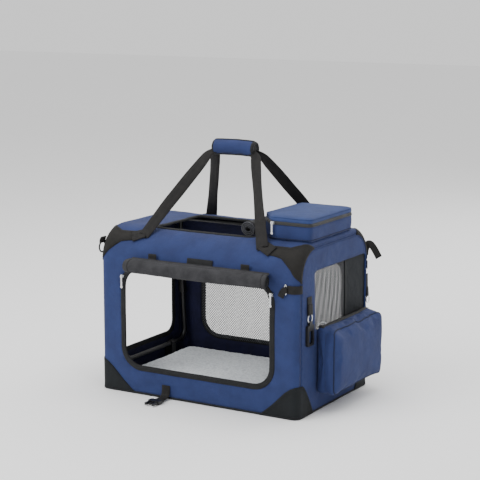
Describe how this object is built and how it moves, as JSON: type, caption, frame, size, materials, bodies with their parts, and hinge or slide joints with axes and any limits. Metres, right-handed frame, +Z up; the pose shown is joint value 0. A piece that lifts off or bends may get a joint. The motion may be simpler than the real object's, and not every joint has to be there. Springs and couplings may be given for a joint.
{
  "type": "pet carrier bag",
  "caption": "Soft-sided folding pet carrier with a steel hoop frame, rolled-up mesh doors, fleece mat, zip pockets and a padded carrying handle",
  "frame": {"origin": "centre of the bottom panel, on the ground", "axes": "+X to the end with the side pocket, -Y out of the front door, +Z up"},
  "size_m": [0.7016, 0.489, 0.6725],
  "materials": {
    "blue_fabric": "satin",
    "roof_fabric": "satin",
    "dark_fabric": "matt",
    "black_webbing": "matt",
    "black_patch": "matt",
    "roll_fabric": "matt",
    "mesh": "matt",
    "fleece": "matt",
    "floor_board": "matt",
    "frame_tube": "semi-gloss powder coat",
    "black_plastic": "fine texture",
    "steel_pin": "bright",
    "zip_metal": "polished"
  },
  "bodies": {
    "base": {"bottom_panel": "dark_fabric", "base_tube_frame": "frame_tube", "hoop_brackets": "black_plastic", "floor_board": "floor_board", "fleece_mat": "fleece", "front_wall": "blue_fabric", "back_wall": "blue_fabric", "left_wall": "blue_fabric", "right_wall": "blue_fabric", "front_door_binding": "black_webbing", "left_door_binding": "black_webbing", "back_window_binding": "black_webbing", "back_window_mesh": "mesh", "right_window_mesh": "mesh", "front_door_roll": "roll_fabric", "left_door_roll": "roll_fabric", "front_roll_ties": "black_webbing", "left_roll_ties": "black_webbing", "front_label": "black_webbing", "top_corner_patches": "black_patch", "bottom_corner_patches": "black_patch", "side_pocket": "blue_fabric", "bottom_strap": "black_webbing"},
    "left_lower_link": {"left_lower_hoop": "frame_tube", "left_knuckles": "black_plastic", "left_pins": "steel_pin"},
    "left_upper_link": {"left_upper_hoop": "frame_tube", "left_upper_knuckles": "black_plastic"},
    "right_lower_link": {"right_lower_hoop": "frame_tube", "right_knuckles": "black_plastic", "right_pins": "steel_pin"},
    "right_upper_link": {"right_upper_hoop": "frame_tube", "right_upper_knuckles": "black_plastic"},
    "top": {"top_rails": "frame_tube", "top_clips": "black_plastic", "roof_panel": "roof_fabric", "top_door_binding": "black_webbing", "top_door_roll": "roll_fabric", "top_roll_ties": "black_webbing", "top_pocket": "blue_fabric"},
    "pocket_lid": {"top_pocket_lid": "roof_fabric"},
    "top_slider": {"top_pocket_slider": "zip_metal"},
    "top_pull": {"top_pocket_pull": "zip_metal"},
    "handle_seams": {"strap_anchors": "black_webbing"},
    "front_handle": {"front_strap": "black_webbing", "handle_wrap": "blue_fabric"},
    "back_handle": {"back_strap": "black_webbing"},
    "wall_fittings": {"strap_adjusters": "black_plastic", "side_straps": "black_webbing"},
    "left_door_zip": {"left_door_slider": "zip_metal"},
    "right_door_zip": {"right_door_slider": "zip_metal"},
    "shoulder_ring": {"left_ring": "black_plastic"},
    "hook": {"hook_ring": "zip_metal", "hook_buckle": "black_plastic"},
    "tie_ring": {"rear_ring": "zip_metal"},
    "pocket_zip": {"side_pocket_zip": "black_webbing"},
    "side_slider": {"side_pocket_slider": "zip_metal"},
    "side_pull": {"side_pocket_pull": "zip_metal"},
    "floor_buckle": {"bottom_buckle": "black_plastic"}
  },
  "joints": [
    {"name": "fold_frame", "type": "hinge", "parent": "base", "child": "left_lower_link", "pos_m": [-0.279, 0, 0.06], "axis": [0, 1, 0], "range_deg": [0, 87.25], "deforming": ["front_wall", "back_wall", "left_wall", "right_wall", "front_door_binding", "left_door_binding", "back_window_binding", "back_window_mesh", "right_window_mesh", "front_door_roll", "left_door_roll", "front_roll_ties", "left_roll_ties", "front_label", "top_corner_patches", "side_pocket", "bottom_corner_patches"]},
    {"name": "left_knee", "type": "hinge", "parent": "left_lower_link", "child": "left_upper_link", "pos_m": [-0.288, 0, 0.242], "axis": [0, 1, 0], "range_deg": [-174.5, 0]},
    {"name": "left_top_pivot", "type": "hinge", "parent": "left_upper_link", "child": "top", "pos_m": [-0.279, 0, 0.424], "axis": [0, 1, 0], "range_deg": [0, 87.25]},
    {"name": "right_base_pivot", "type": "hinge", "parent": "base", "child": "right_lower_link", "pos_m": [0.279, 0, 0.06], "axis": [0, 1, 0], "range_deg": [-87.25, 0]},
    {"name": "right_knee", "type": "hinge", "parent": "right_lower_link", "child": "right_upper_link", "pos_m": [0.288, 0, 0.242], "axis": [0, 1, 0], "range_deg": [0, 174.5]},
    {"name": "handle_seam_lift", "type": "slide", "parent": "top", "child": "handle_seams", "axis": [0, 0, 1], "range_m": [0, 0.01194]},
    {"name": "wall_fitting_drop", "type": "slide", "parent": "base", "child": "wall_fittings", "axis": [0, 0, -1], "range_m": [0, 0.2443]},
    {"name": "pocket_zip_drop", "type": "slide", "parent": "base", "child": "pocket_zip", "axis": [0, 0, -1], "range_m": [0, 0.16734]},
    {"name": "front_handle_fold", "type": "hinge", "parent": "handle_seams", "child": "front_handle", "pos_m": [0, -0.1668, 0.428], "axis": [-1, 0, 0], "range_deg": [-118, 0], "deforming": ["handle_wrap"]},
    {"name": "back_handle_fold", "type": "hinge", "parent": "handle_seams", "child": "back_handle", "pos_m": [0, 0.1668, 0.428], "axis": [1, 0, 0], "range_deg": [-118, 0], "deforming": ["handle_wrap"]},
    {"name": "pocket_lid_hinge", "type": "hinge", "parent": "top", "child": "pocket_lid", "pos_m": [0.141, 0, 0.501], "axis": [0, 1, 0], "range_deg": [-40, 0]},
    {"name": "top_zip", "type": "slide", "parent": "top", "child": "top_slider", "axis": [-1, 0, 0], "range_m": [-0.075, 0]},
    {"name": "top_pull_swing", "type": "hinge", "parent": "top_slider", "child": "top_pull", "pos_m": [0.19, -0.1396, 0.485], "axis": [1, 0, 0], "range_deg": [-15, 0]},
    {"name": "left_door_zip_slide", "type": "slide", "parent": "wall_fittings", "child": "left_door_zip", "axis": [0, 0, 1], "range_m": [-0.18, 0]},
    {"name": "right_door_zip_slide", "type": "slide", "parent": "wall_fittings", "child": "right_door_zip", "axis": [0, 0, 1], "range_m": [-0.18, 0]},
    {"name": "shoulder_ring_swing", "type": "hinge", "parent": "wall_fittings", "child": "shoulder_ring", "pos_m": [-0.305, -0.183, 0.399], "axis": [0, -1, 0], "range_deg": [-80, 0]},
    {"name": "hook_swing", "type": "hinge", "parent": "wall_fittings", "child": "hook", "pos_m": [0.3046, -0.1455, 0.264], "axis": [0, 1, 0], "range_deg": [-70, 0]},
    {"name": "tie_ring_swing", "type": "hinge", "parent": "wall_fittings", "child": "tie_ring", "pos_m": [0.304, 0.189, 0.2465], "axis": [0, 1, 0], "range_deg": [-80, 0]},
    {"name": "side_zip", "type": "slide", "parent": "pocket_zip", "child": "side_slider", "axis": [0, -1, 0], "range_m": [-0.18, 0]},
    {"name": "side_pull_swing", "type": "hinge", "parent": "side_slider", "child": "side_pull", "pos_m": [0.311, -0.088, 0.2336], "axis": [1, 0, 0], "range_deg": [-80, 0]},
    {"name": "floor_buckle_swing", "type": "hinge", "parent": "base", "child": "floor_buckle", "pos_m": [-0.092, -0.242, 0.0052], "axis": [1, 0, 0], "range_deg": [-75, 0]}
  ],
  "couplings": [
    {"joint": "left_knee", "follows": "fold_frame", "ratio": -2},
    {"joint": "left_top_pivot", "follows": "fold_frame", "ratio": 1},
    {"joint": "right_base_pivot", "follows": "fold_frame", "ratio": -1},
    {"joint": "right_knee", "follows": "fold_frame", "ratio": 2},
    {"joint": "handle_seam_lift", "follows": "fold_frame", "m_per_rad": 0.007775},
    {"joint": "wall_fitting_drop", "follows": "fold_frame", "m_per_rad": 0.16036},
    {"joint": "pocket_zip_drop", "follows": "fold_frame", "m_per_rad": 0.10982}
  ]
}
